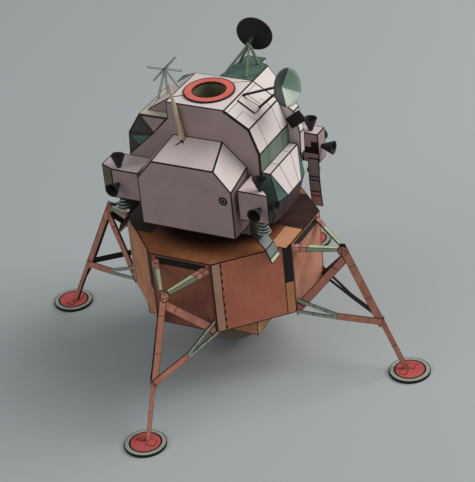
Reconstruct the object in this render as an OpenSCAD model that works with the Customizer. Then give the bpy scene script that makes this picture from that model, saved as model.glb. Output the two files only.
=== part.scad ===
// Printed, folded and glued card model of a lunar lander.
// Units are millimetres. +Y is forward (hatch side), +X starboard, +Z up.
// The origin is on the ground, under the engine.

/* [Descent stage] */
// Apothem of the four leg faces
stage_d = 41.6; // [35:0.1:50]
// Half width of a leg face
stage_w = 15.2; // [10:0.1:20]
// Bottom of the descent stage above the ground
stage_z0 = 32.1; // [26:0.1:40]
// Height of the descent stage
stage_h = 35.7; // [28:0.1:45]
// Thickness of glued-on card
card = 0.6; // [0.3:0.1:1.2]

/* [Engine] */
// Half width of the square plinth under the stage
plinth_x = 28; // [22:0.1:34]
// Height of the plinth
plinth_h = 7.3; // [4:0.1:12]
// Outer radius of the nozzle mouth
nozzle_r = 13.6; // [8:0.1:16]
// Outer radius of the nozzle at the plinth
nozzle_top_r = 7; // [4:0.1:10]
// Height of the nozzle mouth above the ground
nozzle_z = 7; // [1.5:0.1:12]
// Wall of the nozzle
nozzle_wall = 0.7; // [0.5:0.1:1.5]

/* [Landing gear] */
// Distance of a pad from the middle
pad_reach = 88.5; // [75:0.5:105]
// Radius of a pad
pad_r = 9.4; // [6:0.1:12]
// Thickness of a pad
pad_t = 1.2; // [0.8:0.1:3]
// Distance of a hub from the middle
hub_reach = 61.2; // [54:0.1:68]
// Height of a hub
hub_z = 61; // [52:0.1:66]
// Height of the joint of the lower struts on the main strut
knee_z = 25.5; // [18:0.1:34]
// Width of a side of the main strut above the knee
main_w = 3.6; // [2.5:0.1:5]
// Width of a side of the main strut below the knee
foot_w = 2.4; // [1.5:0.1:4]
// Radius of a hub disc
hub_r = 2.4; // [1.5:0.1:4]
// Width of a lower brace
brace_w = 3.8; // [2:0.1:5]
// Width of an upper brace at the stage
upper_w = 2.6; // [1.5:0.1:4]
// Width of an upper brace at the hub
upper_tip = 1.3; // [0.8:0.1:3]
// Width of a secondary strut
second_w = 3; // [2:0.1:4]
// Width of a fork arm
fork_w = 1.4; // [0.8:0.1:2.5]
// Share of the way from knee to stage where the fork starts
fork_at = 0.54; // [0.4:0.01:0.7]
// Thickness of a folded strut
strut_t = 0.9; // [0.6:0.1:1.5]
// Thickness of the glue under a secondary strut
glue = 0.12; // [0.05:0.01:0.3]

/* [Ascent stage] */
// Heights from here on are above the deck of the descent stage
// Height of the underside of the ascent stage above the deck
asc_gap = 8.2; // [4:0.1:12]
// Half width of the core between the deck and the underside
core_x = 22; // [16:0.1:28]
// Top deck height
deck_z = 61.7; // [54.2:0.1:68.2]
// Half depth of the midsection
mid_y = 14.3; // [11:0.1:18]
// Half width of the top deck
deck_x = 14.2; // [10:0.1:18]
// Shoulder of the midsection, across
shoulder_x = 25.7; // [22:0.1:28]
// Shoulder of the midsection, height
shoulder_z = 54.3; // [50.2:0.1:58.2]
// Side of the midsection, across
side_x = 29.8; // [28:0.1:32]
// Side of the midsection, height of its upper fold
side_z = 42.7; // [38.2:0.1:46.2]
// Height of the tank ledges
ledge_z = 33.8; // [29.2:0.1:36.2]
// Outer edge of the starboard ledge
ledge_x = 34; // [32:0.1:36]
// Widest point of the starboard tank cover
tank_x = 38; // [36:0.1:42]
// Height of the widest point of the starboard tank cover
tank_z = 19.7; // [14.2:0.1:24.2]
// Half length of the widest edge of the starboard tank cover
tank_y = 7; // [4:0.1:12]
// Outer edge of the port tank cover
port_x = 35.7; // [33:0.1:38]
// Height of the top of the port tank cover
port_z = 53.6; // [48.2:0.1:56.2]
// Depth of the ledge on top of the port tank cover
port_step = 4.5; // [2:0.1:7]

/* [Aft bay] */
// Half width of the aft bay
bay_x = 23; // [18:0.1:26]
// Depth of the aft bay
bay_d = 16.7; // [12:0.1:22]
// Height of the aft shoulders
bay_shoulder = 31.4; // [26.2:0.1:36.2]
// Height of the top edge of the aft face
bay_top = 40.7; // [36.2:0.1:45.2]
// Half width of the top edge of the aft face
bay_top_x = 15.2; // [11:0.1:19]
// Rise of the roof of the bay toward the midsection
bay_rise = 5.4; // [2:0.1:9]
// Half width of the roof where it meets the midsection
bay_root_x = 12; // [9:0.1:15]

/* [Forward cabin] */
// Forward face
cab_y = 36.5; // [30:0.1:42]
// Half width of the flat forward face
cab_face_x = 11; // [8:0.1:16]
// Height of the brow above the windows
brow_z = 45.2; // [40.2:0.1:50.2]
// Port edge of the raised roof, at the midsection
roof_x = -2.4; // [-8:0.1:4]
// Port edge of the raised roof, at the front
roof_tip = 0.8; // [-6:0.1:8]

/* [Docking ring] */
// Outer radius of the ring
ring_r = 11.5; // [8:0.1:13]
// Radius of the tunnel
tunnel_r = 7.2; // [5:0.1:9]
// Depth of the tunnel below the ring
tunnel_d = 12; // [6:0.1:20]
// Height of the ring
ring_t = 0.8; // [0.5:0.1:2]

/* [Thruster boxes] */
// Size of a thruster box
quad_s = 14.6; // [10:0.1:18]
// Underside of the thruster boxes
quad_z0 = 17.2; // [12.2:0.1:20.2]
// Height of the thruster boxes
quad_h = 14.5; // [10:0.1:18]
// Mouth radius of a thruster cone
cone_r = 3.2; // [2:0.1:5]
// Length of a thruster cone
cone_l = 6; // [4:0.1:9]
// Throat radius of a thruster cone
throat_r = 0.9; // [0.6:0.1:1.6]
// Distance of the aft blast strips from the middle, at the top
defl_x = 30; // [28:0.1:33]

/* [Antennas] */
// Radius of the radar dish
radar_r = 8.4; // [6:0.1:11]
// Depth of the radar dish
radar_depth = 3; // [1.5:0.1:5]
// Radius of the steerable dish
steer_r = 8.5; // [6:0.1:11]
// Depth of the steerable dish
steer_depth = 3.6; // [2:0.1:5]
// Thickness of a strut of the antennas
rod = 0.9; // [0.6:0.1:1.6]
// Half length of an arm of the crossed antenna
cross_arm = 8.5; // [6:0.1:12]
// Foot radius of the mast
mast_r = 1.4; // [0.8:0.1:1.8]
// Tip radius of the mast
mast_tip = 0.6; // [0.4:0.1:1.2]
// Length of the mast
mast_l = 27.8; // [20:0.1:45]

/* [Hidden] */
$fn = 48;
deck_top = stage_z0 + stage_h;
asc_z0 = asc_gap;
bay_y = -mid_y - bay_d;

card_lilac = [0.80, 0.72, 0.73];
card_shade = [0.55, 0.48, 0.49];
card_orange = [0.72, 0.42, 0.30];
card_green = [0.45, 0.56, 0.48];
card_olive = [0.42, 0.42, 0.34];
card_black = [0.06, 0.06, 0.06];
card_coral = [0.85, 0.33, 0.28];
wood = [0.80, 0.68, 0.52];

// ---------- helpers ----------
function unit(v) = v / norm(v);
// Solid between two outlines of as many points, whichever way round they run
module between(p, q) {
    n = len(p);
    out = cross(p[1] - p[0], p[2] - p[1]) * (q[0] - p[0]) > 0;
    a = out ? p : q;
    b = out ? q : p;
    polyhedron(points = concat(a, b), faces = concat([[for (i = [0:n - 1]) i]], [[for (i = [n - 1:-1:0]) n + i]],
        [for (i = [0:n - 1], k = [0, 1]) k == 0 ? [i, n + (i + 1) % n, (i + 1) % n] : [i, n + i, n + (i + 1) % n]]));
}
// Card between the edges a-b and their copies moved along dir by wa and wb, t thick along v
module ribbon(a, b, wa, wb, dir, v, t) {
    c = [a, b, b + dir * wb, a + dir * wa];
    between(c, [for (p = c) p + v * t]);
}
// Flat strip of card from a to b, wa and wb wide, lying against normal v
module strip(a, b, wa, wb, v, t) {
    d = unit(b - a);
    s = unit(cross(v, d));
    m = unit(cross(d, s)) * t;
    between([a - s * wa / 2, a + s * wa / 2, b + s * wb / 2, b - s * wb / 2],
            [a - s * wa / 2 + m, a + s * wa / 2 + m, b + s * wb / 2 + m, b - s * wb / 2 + m]);
}
// Points of a list placed at one y
function at_y(list, y) = [for (p = list) [p[0], y, p[1]]];
// Prism along y of an outline in x and z
module prism_y(list, y0, y1) {
    translate([0, y1, 0]) rotate([90, 0, 0]) linear_extrude(y1 - y0) polygon(list);
}
// Copies about the vertical axis for the four legs
module turn(k) { rotate([0, 0, 90 * k]) children(); }

// The ascent stage's pieces are drawn above the deck and stand on it
module on_deck() { translate([0, 0, deck_top]) children(); }

// ---------- descent stage ----------
function octagon(w, d) = [[w, -d], [d, -w], [d, w], [w, d], [-w, d], [-d, w], [-d, -w], [-w, -d]];
module descent_stage() {
    color(card_orange) translate([0, 0, stage_z0]) linear_extrude(stage_h) polygon(octagon(stage_w, stage_d));
}
module base_plinth() {
    color(card_orange) translate([-plinth_x, -plinth_x, stage_z0 - plinth_h]) cube([2 * plinth_x, 2 * plinth_x, plinth_h]);
}
module engine_nozzle() {
    z1 = stage_z0 - plinth_h;
    color(card_olive) rotate_extrude() polygon([[nozzle_r, nozzle_z], [nozzle_top_r, z1], [0, z1], [0, z1 - nozzle_wall],
        [nozzle_top_r - nozzle_wall, z1 - nozzle_wall], [nozzle_r - nozzle_wall, nozzle_z]]);
}

// ---------- landing gear, drawn for the aft leg ----------
hub = [0, -hub_reach, hub_z];
foot = [0, -pad_reach, pad_t];
rake = unit(foot - hub);
knee = hub + rake * ((knee_z - hub_z) / rake[2]);
function corner_low(s) = [s * (stage_w - 0.6), -stage_d, stage_z0 + 1.6];
function corner_high(s) = [s * (stage_w - 1.6), -stage_d, deck_top - 2.2];
// Direction in the side frame, square to the main strut and toward the stage
function inward(s) = let (c = corner_low(s) - hub) unit(c - rake * (c * rake));
function frame_n(s) = unit(cross(rake, inward(s))) * s;

// Everything on the stage's side of a leg face, above the deck line too
module behind_face() { translate([-100, -stage_d, -50]) cube([200, 200, 300]); }
module past_middle(s) { translate([s > 0 ? -100 : 0, -200, -50]) cube([100, 200, 300]); }
module below(z) { translate([-200, -200, z - 100]) cube([400, 400, 100]); }
// One side of the main strut, with its hub disc
module main_side(s) {
    u = inward(s);
    n = -frame_n(s);
    difference() {
        union() {
            strip(hub + u * main_w / 2 - rake * 2, knee + u * main_w / 2 + rake * 2, main_w, main_w, n, strut_t);
            strip(knee + u * foot_w / 2, foot + u * foot_w / 2 + rake * 2, foot_w, foot_w, n, strut_t);
            aim(hub + u * hub_r + rake * 0.8, n) cylinder(r = hub_r, h = strut_t + 0.2);
        }
        past_middle(s);
        below(pad_t);
    }
}
module main_strut(k) {
    color(card_orange) turn(k) { main_side(1); main_side(-1); }
}
module pad(k) {
    color(card_coral) turn(k) translate([0, -pad_reach, 0]) cylinder(r = pad_r, h = pad_t);
}
// The braces are drawn for the left side and mirrored to the right
// Cuts straight through the frame plane: the main strut's own width, and its hub disc
module outboard() {
    u = inward(-1);
    n = frame_n(-1);
    c = [for (q = [[-30, -30], [110, -30], [110, main_w], [-30, main_w]]) hub + rake * q[0] + u * q[1]];
    between([for (p = c) p - n * 6], [for (p = c) p + n * 6]);
    aim(hub + u * hub_r + rake * 0.8 - n * 6, n) cylinder(r = hub_r, h = 12);
}
module upper_shape() {
    s = -1;
    a = hub + inward(s) * 1.4;
    b = corner_high(s) + (corner_high(s) - a) * 0.06;
    e = unit(b - a);
    in_top = unit([1, 0, 0] - e * e[0]);
    in_side = unit(rake - e * (rake * e));
    down = unit(cross(e, [1, 0, 0]));
    difference() {
        union() {
            ribbon(a, b, upper_tip, upper_w, in_top, [0, down[1], down[2]] * (down[2] > 0 ? -1 : 1), strut_t);
            ribbon(a, b, upper_tip, upper_w, in_side, -frame_n(s), strut_t);
        }
        outboard();
        behind_face();
        past_middle(s);
    }
}
module lower_shape() {
    a = hub + rake * 3;
    b = corner_low(-1) + [0, 0, -0.7];
    difference() {
        strip(a, b + (b - a) * 0.1, brace_w, brace_w, -frame_n(-1), strut_t);
        outboard();
        behind_face();
    }
}
function across(d, side) = [-d[1], d[0]] * side / norm(d);
// The secondary strut is one forked outline, glued on the outer face of the leg frame
module secondary_shape() {
    n = frame_n(-1);
    u = inward(-1);
    w = cross(n, u);
    a = knee + u * (main_w * 0.3) + n * glue;
    lo = corner_low(-1) + [0, 0, -1.2] - a;
    hi = corner_low(-1) + [0, 0, 4.8] - a;
    low = [lo * u, lo * w] * 1.06;
    high = [hi * u, hi * w] * 1.06;
    m = low * fork_at / 1.06;
    up = high[0] * low[1] < high[1] * low[0] ? 1 : -1;
    q = across(low, up);
    p = across(low - m, up) * fork_w / 2;
    r = across(high - m, up) * fork_w / 2;
    difference() {
        multmatrix([[u[0], w[0], n[0], a[0]], [u[1], w[1], n[1], a[1]], [u[2], w[2], n[2], a[2]], [0, 0, 0, 1]])
            linear_extrude(card) polygon([-q * second_w / 2, m - q * second_w / 2, low - p, low + p, m + unit(low) * 0.8,
                high - r, high + r, m + q * second_w / 2, q * second_w / 2]);
        behind_face();
    }
}
module upper_brace(k, s) { color(card_green) turn(k) if (s > 0) mirror([1, 0, 0]) upper_shape(); else upper_shape(); }
module lower_brace(k, s) { color(card_orange) turn(k) if (s > 0) mirror([1, 0, 0]) lower_shape(); else lower_shape(); }
module secondary(k, s) { color(card_orange) turn(k) if (s > 0) mirror([1, 0, 0]) secondary_shape(); else secondary_shape(); }

// ---------- ascent stage ----------
arch_right = [[side_x, asc_z0], [side_x, side_z], [shoulder_x, shoulder_z], [deck_x, deck_z]];
tank_v = [-22.6, port_z - 9];
module midsection() {
    color(card_lilac) difference() {
        union() {
            prism_y(concat(arch_right, [[-deck_x, deck_z], [-deck_x, port_z], tank_v, [-port_x, port_z - 21.3], [-port_x, asc_z0]]), -mid_y, -mid_y + port_step);
            prism_y(concat(arch_right, [[-deck_x, deck_z], [-shoulder_x, shoulder_z], [-side_x, side_z], [-side_x, port_z - 15.7], [-port_x, port_z - 21.3], [-port_x, asc_z0]]), -mid_y + port_step, mid_y);
        }
        translate([0, 0, deck_z - tunnel_d]) cylinder(r = tunnel_r, h = tunnel_d + 1);
    }
    color(card_shade) translate([-core_x, -mid_y, 0]) cube([2 * core_x, 2 * mid_y, asc_gap]);
}
module port_tank() {
    color(card_olive) {
        prism_y([[-deck_x, port_z], tank_v, [-port_x, port_z - 21.3], [-34.9, port_z - 10.2], [-28.5, port_z]], -mid_y, -mid_y + port_step);
        prism_y([[-side_x, port_z - 15.7], [-port_x, port_z - 21.3], [-34.9, port_z - 10.2], [-28.5, port_z], [-26, port_z], [-side_x, side_z]], -mid_y + port_step, mid_y - 1);
    }
}
module starboard_tank() {
    y0 = -mid_y; y1 = mid_y - 0.8; x0 = side_x; xb = 33; xe = tank_x - 1.4;
    p = [[x0, y0, ledge_z], [x0, y1, ledge_z], [ledge_x, y0, ledge_z], [ledge_x, y1, ledge_z],
         [xe, y0, tank_z], [tank_x, -tank_y, tank_z], [tank_x, tank_y, tank_z], [xe, y1, tank_z],
         [xb, y0, asc_z0], [xb + 1.4, -tank_y, asc_z0], [xb + 1.4, tank_y, asc_z0], [xb, y1, asc_z0],
         [x0, y0, asc_z0], [x0, y1, asc_z0]];
    color(card_lilac) polyhedron(points = p, faces = [
        [0, 1, 3, 2], [2, 3, 6, 5], [2, 5, 4], [3, 7, 6], [4, 5, 9, 8], [5, 6, 10, 9], [6, 7, 11, 10],
        [0, 2, 4, 8, 12], [1, 13, 11, 7, 3], [12, 8, 9, 10, 11, 13], [0, 12, 13, 1]]);
}
module aft_bay() {
    a = [[-bay_x, asc_z0], [bay_x, asc_z0], [bay_x, bay_shoulder], [bay_top_x, bay_top], [-bay_top_x, bay_top], [-bay_x, bay_shoulder]];
    b = [[-bay_x, asc_z0], [bay_x, asc_z0], [bay_x, bay_shoulder + 3.9], [bay_root_x, bay_top + bay_rise], [-bay_root_x, bay_top + bay_rise], [-bay_x, bay_shoulder + 3.9]];
    color(card_shade) between(at_y(a, bay_y), at_y(b, -mid_y));
}
module forward_cabin() {
    front = cab_y;
    color(card_lilac) difference() {
        intersection() {
            // outline in plan
            translate([0, 0, asc_z0]) linear_extrude(deck_z - asc_z0) polygon([[35.4, mid_y], [35.4, 18.3], [13, 30.6], [cab_face_x - 1, 32.2], [cab_face_x - 1, front],
                [-cab_face_x + 1, front], [-cab_face_x + 1, 32.2], [-13, 30.6], [-29, 21.6], [-29, mid_y]]);
            // outline across
            prism_y([[26, asc_z0], [35, quad_z0 + 11], [35.4, side_z - 3.5], [33.2, shoulder_z - 4.8], [deck_x, deck_z], [-deck_x, deck_z], [-shoulder_x, shoulder_z], [-29, side_z], [-29, quad_z0 + 7], [-24, asc_z0]], mid_y - 1, front + 1);
        }
        // lower roof on the port side, its edge running from roof_x to roof_tip
        translate([0, 0, 0]) difference() {
            translate([-60, mid_y, 0]) rotate([90, 0, 90]) linear_extrude(60 + roof_tip) polygon([[0, deck_z - 0.4], [30, deck_z - 24], [30, deck_z + 10], [0, deck_z + 10]]);
            translate([0, 0, deck_z - 60]) linear_extrude(80) polygon([[roof_x, mid_y - 1], [roof_tip, front + 1], [60, front + 1], [60, mid_y - 1]]);
        }
        // brow over the windows
        translate([-50, 0, 0]) rotate([90, 0, 90]) linear_extrude(100) polygon([[front + 0.01, brow_z - 8], [front + 6, brow_z - 8], [front + 6, brow_z - 30], [front + 0.01, brow_z - 30]]);
    }
}
module docking_ring() {
    color(card_coral) translate([0, 0, deck_z]) difference() {
        cylinder(r = ring_r, h = ring_t);
        translate([0, 0, -1]) cylinder(r = tunnel_r, h = ring_t + 2);
    }
}

// ---------- thruster boxes: plan outline, thruster centre, outward direction ----------
gx = 24.5; gy = -28.5; gs = quad_s;
plan_as = [[gx, -mid_y], [gx, gy], [gx + gs, gy]];
plan_ap = [[-gx + 0.5, -mid_y], [-port_x - 8.3, -mid_y], [-port_x - 8.3, -25.5], [-37.7, gy], [-gx + 0.5, gy]];
plan_fs = [[37.5, 27.2], [37.5, 34.7], [26, 34.7], [22, 25.65], [29.3, 21.63], [29.3, 27.2]];
plan_fp = [[-37.5, 27.2], [-29.0, 27.2], [-28.8, 21.7], [-22, 25.65], [-26, 34.7], [-37.5, 34.7]];
// columns: centre x, centre y, y of the fore or aft face, x of the outer cone's root, y of that root, its direction
seat_as = [34.3, -25.4, gy, 35, -24.4, 0];
seat_ap = [-34.8, -26, gy, 0, 0, -1];
seat_fs = [32.8, 30.3, 34.7, 37.5, 30.3, 0];
seat_fp = [-32.8, 30.3, 34.7, -37.5, 30.3, 180];
module box(plan) {
    color(card_lilac) difference() {
        translate([0, 0, quad_z0]) linear_extrude(quad_h) polygon(plan);
        forward_cabin();
    }
}
// One thruster cone, mouth along +z
module cone() {
    rotate_extrude() polygon([[throat_r, 0], [cone_r, cone_l], [cone_r - 0.5, cone_l], [0, 0.8], [0, 0]]);
}
module cones(q, plan) {
    mid = quad_z0 + quad_h / 2;
    color(card_black) difference() {
        union() {
            translate([q[0], q[1], quad_z0 + quad_h]) cone();
            translate([q[0], q[1], quad_z0]) mirror([0, 0, 1]) cone();
            translate([q[0] + (q[2] < 0 && q[5] >= 0 ? 0.6 : 0), q[2], mid]) rotate([q[2] < 0 ? 90 : -90, 0, 0]) cone();
            if (q[5] >= 0) translate([q[3], q[4], mid]) rotate([0, 0, q[5]]) rotate([0, 90, 0]) cone();
        }
        box(plan);
    }
}
// Curved blast strip under a thruster box, x0 inboard at the top, drawn for y centre yc
module deflector(side, yc, x0) {
    pts = [[x0, quad_z0], [x0, quad_z0 - cone_l - 0.6], [x0 + 5.6, quad_z0 - 13], [x0 + 8.2, quad_z0 - 19.5]];
    outline = concat(pts, [for (i = [3:-1:0]) pts[i] + [card, 0]]);
    color(card_olive) if (side < 0) mirror([1, 0, 0]) prism_y(outline, yc - 4, yc + 4);
    else prism_y(outline, yc - 4, yc + 4);
}
// Blast strip in front of the aft side of a forward box
module front_deflector(side) {
    pts = [[26.6, quad_z0 + 2], [26.1, quad_z0 - 7], [26.5, quad_z0 - 15], [27.4, quad_z0 - 23]];
    outline = concat(pts, [for (i = [3:-1:0]) pts[i] + [card, 0]]);
    translate([side > 0 ? 32 : -37.4, 0, 0]) rotate([90, 0, 90]) linear_extrude(5.4) polygon(outline);
}
module plume_deflectors() {
    deflector(1, -24.9, defl_x); deflector(-1, -24.9, defl_x);
    color(card_olive) { front_deflector(1); front_deflector(-1); }
}

// ---------- antennas ----------
// Places a child drawn along +z so that it points along v
module aim(p, v) {
    u = unit(v);
    translate(p) rotate([0, acos(u[2]), atan2(u[1], u[0])]) children();
}
module bar(a, b, w) { aim(a, b - a) translate([-w / 2, -w / 2, 0]) cube([w, w, norm(b - a)]); }
module dish(r, depth) {
    rotate_extrude() polygon([[0, 0], [r, depth], [r, depth + 0.35], [0, 0.45]]);
}
radar_c = [7.9, 31.6, deck_z + 13.9];
radar_v = unit([-0.102, 0.987, 0.13]);
radar_mount = radar_c - radar_v * 7.1;
steer_c = [36.5, 3.4, deck_z + 5.6];
steer_v = unit([0.942, -0.238, 0.238]);
steer_apex = steer_c - steer_v * steer_depth;
module radar_dish() { color(card_black) aim(radar_c - radar_v * radar_depth, radar_v) dish(radar_r, radar_depth); }
module radar_frame() {
    color(wood) aim(radar_mount - radar_v * 1.2, radar_v) cylinder(r = 1, h = norm(radar_c - radar_mount) - radar_depth + 1.2);
    color(card_green) difference() {
        for (p = [[-0.8, 15.8, deck_z], [0.4, 29.5, deck_z], [10, 16.6, deck_z], [9.7, 29.7, deck_z]]) bar(p, radar_mount + [0, 0, -0.4], rod);
        below(deck_z);
    }
}
module steerable_dish() { color(card_green) aim(steer_apex, steer_v) dish(steer_r, steer_depth); }
bracket_n = unit([deck_z - shoulder_z, 0, shoulder_x - deck_x]);
function on_slope(x, y) = [x, y, deck_z - (x - deck_x) * (deck_z - shoulder_z) / (shoulder_x - deck_x)];
module dish_bracket() {
    color(card_lilac) strip(on_slope(19.3, -3.6), on_slope(19.3, 3.8), 9.6, 9.6, bracket_n, card);
    color(card_black) for (x = [15.3, 22.9]) bar(on_slope(x, 1.5) + bracket_n * card * 0.9, steer_apex + [-0.2, 0, x < 20 ? 0.6 : -0.6], rod);
}
cross_c = [-21.4, 0.4, deck_z + 7.7];
module cross_antenna() {
    color(card_green) difference() {
        union() {
        for (v = [[1, 0, 0.04], [0.62, 0.1, 0.68]]) bar(cross_c - unit(v) * cross_arm, cross_c + unit(v) * cross_arm, rod);
        for (p = [on_slope(26.2, 0), on_slope(21.2, 0), on_slope(15.9, 1.5)]) bar([-p[0], p[1], p[2]], cross_c, rod);
        }
        midsection();
    }
}
// The mast stands on the roof of the aft bay, close behind the midsection
mast_foot = [-6.6, -mid_y - mast_r - 0.15, bay_top + bay_rise - 1.6];
mast_dir = [-0.148, 0, 1];
module mast() { color(wood) difference() { aim(mast_foot, mast_dir) cylinder(r1 = mast_r, r2 = mast_tip, h = mast_l); aft_bay(); } }
module sensor_flap() {
    color(card_black) prism_y([[29.1, side_z + 2.7], [31.9, side_z - 1.8], [39.2, side_z + 3.7], [35.6, side_z + 8.1]], mid_y - card, mid_y);
}

// ---------- front ----------
module porch() {
    color(card_orange) translate([-8, stage_d - 4, deck_top + 3]) cube([16, 16, card]);
    color(card_orange) for (x = [-8, 8 - card]) translate([x, stage_d - 4, deck_top]) cube([card, 16, 3]);
}
module ladder() {
    out = [0, -rake[2], -rake[1]] * (rod / 2 + 0.15);
    a = [0, -hub[1], hub[2]] + [0, -rake[1], rake[2]] * 4 + out;
    b = [0, -knee[1], knee[2]] - [0, -rake[1], rake[2]] * 2 + out;
    color(card_green) {
        for (x = [-3.2, 3.2]) bar(a + [x, 0, 0], b + [x, 0, 0], rod);
        for (i = [0:8]) { p = a + (b - a) * (i + 0.5) / 9; bar(p - [3.2, 0, 0], p + [3.2, 0, 0], rod); }
    }
}

descent_stage();
base_plinth();
engine_nozzle();
main_strut(0);  // main_strut_aft
main_strut(1);  // main_strut_starboard
main_strut(2);  // main_strut_forward
main_strut(3);  // main_strut_port
pad(0);  // pad_aft
pad(1);  // pad_starboard
pad(2);  // pad_forward
pad(3);  // pad_port
upper_brace(0, 1);  // upper_brace_aft_right
upper_brace(0, -1);  // upper_brace_aft_left
upper_brace(1, 1);  // upper_brace_starboard_right
upper_brace(1, -1);  // upper_brace_starboard_left
upper_brace(2, 1);  // upper_brace_forward_right
upper_brace(2, -1);  // upper_brace_forward_left
upper_brace(3, 1);  // upper_brace_port_right
upper_brace(3, -1);  // upper_brace_port_left
lower_brace(0, 1);  // lower_brace_aft_right
lower_brace(0, -1);  // lower_brace_aft_left
lower_brace(1, 1);  // lower_brace_starboard_right
lower_brace(1, -1);  // lower_brace_starboard_left
lower_brace(2, 1);  // lower_brace_forward_right
lower_brace(2, -1);  // lower_brace_forward_left
lower_brace(3, 1);  // lower_brace_port_right
lower_brace(3, -1);  // lower_brace_port_left
secondary(0, 1);  // secondary_strut_aft_right
secondary(0, -1);  // secondary_strut_aft_left
secondary(1, 1);  // secondary_strut_starboard_right
secondary(1, -1);  // secondary_strut_starboard_left
secondary(2, 1);  // secondary_strut_forward_right
secondary(2, -1);  // secondary_strut_forward_left
secondary(3, 1);  // secondary_strut_port_right
secondary(3, -1);  // secondary_strut_port_left
on_deck() midsection();
on_deck() port_tank();
on_deck() starboard_tank();
on_deck() aft_bay();
on_deck() forward_cabin();
on_deck() docking_ring();
on_deck() box(plan_as);  // thruster_box_aft_starboard
on_deck() cones(seat_as, plan_as);  // thrusters_aft_starboard
on_deck() box(plan_ap);  // thruster_box_aft_port
on_deck() cones(seat_ap, plan_ap);  // thrusters_aft_port
on_deck() box(plan_fs);  // thruster_box_forward_starboard
on_deck() cones(seat_fs, plan_fs);  // thrusters_forward_starboard
on_deck() box(plan_fp);  // thruster_box_forward_port
on_deck() cones(seat_fp, plan_fp);  // thrusters_forward_port
on_deck() plume_deflectors();
on_deck() radar_dish();
on_deck() radar_frame();
on_deck() steerable_dish();
on_deck() dish_bracket();
on_deck() cross_antenna();
on_deck() mast();
on_deck() sensor_flap();
porch();
ladder();
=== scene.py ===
"""Looks for a printed, folded and glued card model of a lunar lander.
All sizes are in metres, in the row frame: +Z up, +Y toward the hatch, +X starboard."""

import math

import bmesh
import bpy
from mathutils import Matrix, Vector


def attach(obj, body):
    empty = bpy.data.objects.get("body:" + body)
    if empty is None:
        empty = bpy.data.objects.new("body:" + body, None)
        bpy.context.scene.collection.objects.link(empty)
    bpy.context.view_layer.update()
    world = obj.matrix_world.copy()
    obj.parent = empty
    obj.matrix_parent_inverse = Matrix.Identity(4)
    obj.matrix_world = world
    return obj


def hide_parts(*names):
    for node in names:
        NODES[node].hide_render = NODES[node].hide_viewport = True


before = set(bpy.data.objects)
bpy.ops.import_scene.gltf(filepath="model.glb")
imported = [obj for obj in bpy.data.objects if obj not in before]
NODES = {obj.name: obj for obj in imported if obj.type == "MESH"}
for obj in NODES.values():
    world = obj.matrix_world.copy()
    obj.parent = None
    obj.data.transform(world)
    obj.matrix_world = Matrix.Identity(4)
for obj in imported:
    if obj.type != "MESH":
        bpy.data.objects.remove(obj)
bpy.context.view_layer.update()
MM = 0.001


# ---------- shader groups ----------
def group(name, inputs, outputs):
    tree = bpy.data.node_groups.new(name, "ShaderNodeTree")
    for label, kind, value in inputs:
        socket = tree.interface.new_socket(label, in_out="INPUT", socket_type=kind)
        socket.default_value = value
    for label, kind in outputs:
        tree.interface.new_socket(label, in_out="OUTPUT", socket_type=kind)
    return tree, tree.nodes.new("NodeGroupInput"), tree.nodes.new("NodeGroupOutput")


def watercolour_group():
    """Card printed from a painted sheet: pigment pools softly over a fine paper tooth."""
    tree, gin, gout = group(
        "Watercolour",
        [("Wash", "NodeSocketColor", (0.8, 0.8, 0.8, 1)), ("Pool", "NodeSocketColor", (0.5, 0.5, 0.5, 1)),
         ("Cloud Scale", "NodeSocketFloat", 60.0), ("Pooling", "NodeSocketFloat", 0.5)],
        [("Color", "NodeSocketColor"), ("Roughness", "NodeSocketFloat"), ("Normal", "NodeSocketVector")],
    )
    n, link = tree.nodes, tree.links
    place = n.new("ShaderNodeTexCoord")
    cloud = n.new("ShaderNodeTexNoise")
    cloud.inputs["Detail"].default_value = 4.0
    cloud.inputs["Distortion"].default_value = 1.2
    link.new(place.outputs["Object"], cloud.inputs["Vector"])
    link.new(gin.outputs["Cloud Scale"], cloud.inputs["Scale"])
    spread = n.new("ShaderNodeMapRange")
    spread.inputs["From Min"].default_value = 0.36
    spread.inputs["From Max"].default_value = 0.68
    link.new(cloud.outputs["Fac"], spread.inputs["Value"])
    amount = n.new("ShaderNodeMath")
    amount.operation = "MULTIPLY"
    link.new(spread.outputs["Result"], amount.inputs[0])
    link.new(gin.outputs["Pooling"], amount.inputs[1])
    mix = n.new("ShaderNodeMix")
    mix.data_type = "RGBA"
    link.new(amount.outputs[0], mix.inputs["Factor"])
    link.new(gin.outputs["Wash"], mix.inputs["A"])
    link.new(gin.outputs["Pool"], mix.inputs["B"])
    link.new(mix.outputs["Result"], gout.inputs["Color"])
    tooth = n.new("ShaderNodeTexNoise")
    tooth.inputs["Scale"].default_value = 1600.0
    tooth.inputs["Detail"].default_value = 3.0
    link.new(place.outputs["Object"], tooth.inputs["Vector"])
    bump = n.new("ShaderNodeBump")
    bump.inputs["Strength"].default_value = 0.12
    bump.inputs["Distance"].default_value = 0.0001
    link.new(tooth.outputs["Fac"], bump.inputs["Height"])
    link.new(bump.outputs["Normal"], gout.inputs["Normal"])
    rough = n.new("ShaderNodeMapRange")
    rough.inputs["To Min"].default_value = 0.48
    rough.inputs["To Max"].default_value = 0.66
    link.new(tooth.outputs["Fac"], rough.inputs["Value"])
    link.new(rough.outputs["Result"], gout.inputs["Roughness"])
    return tree


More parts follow.
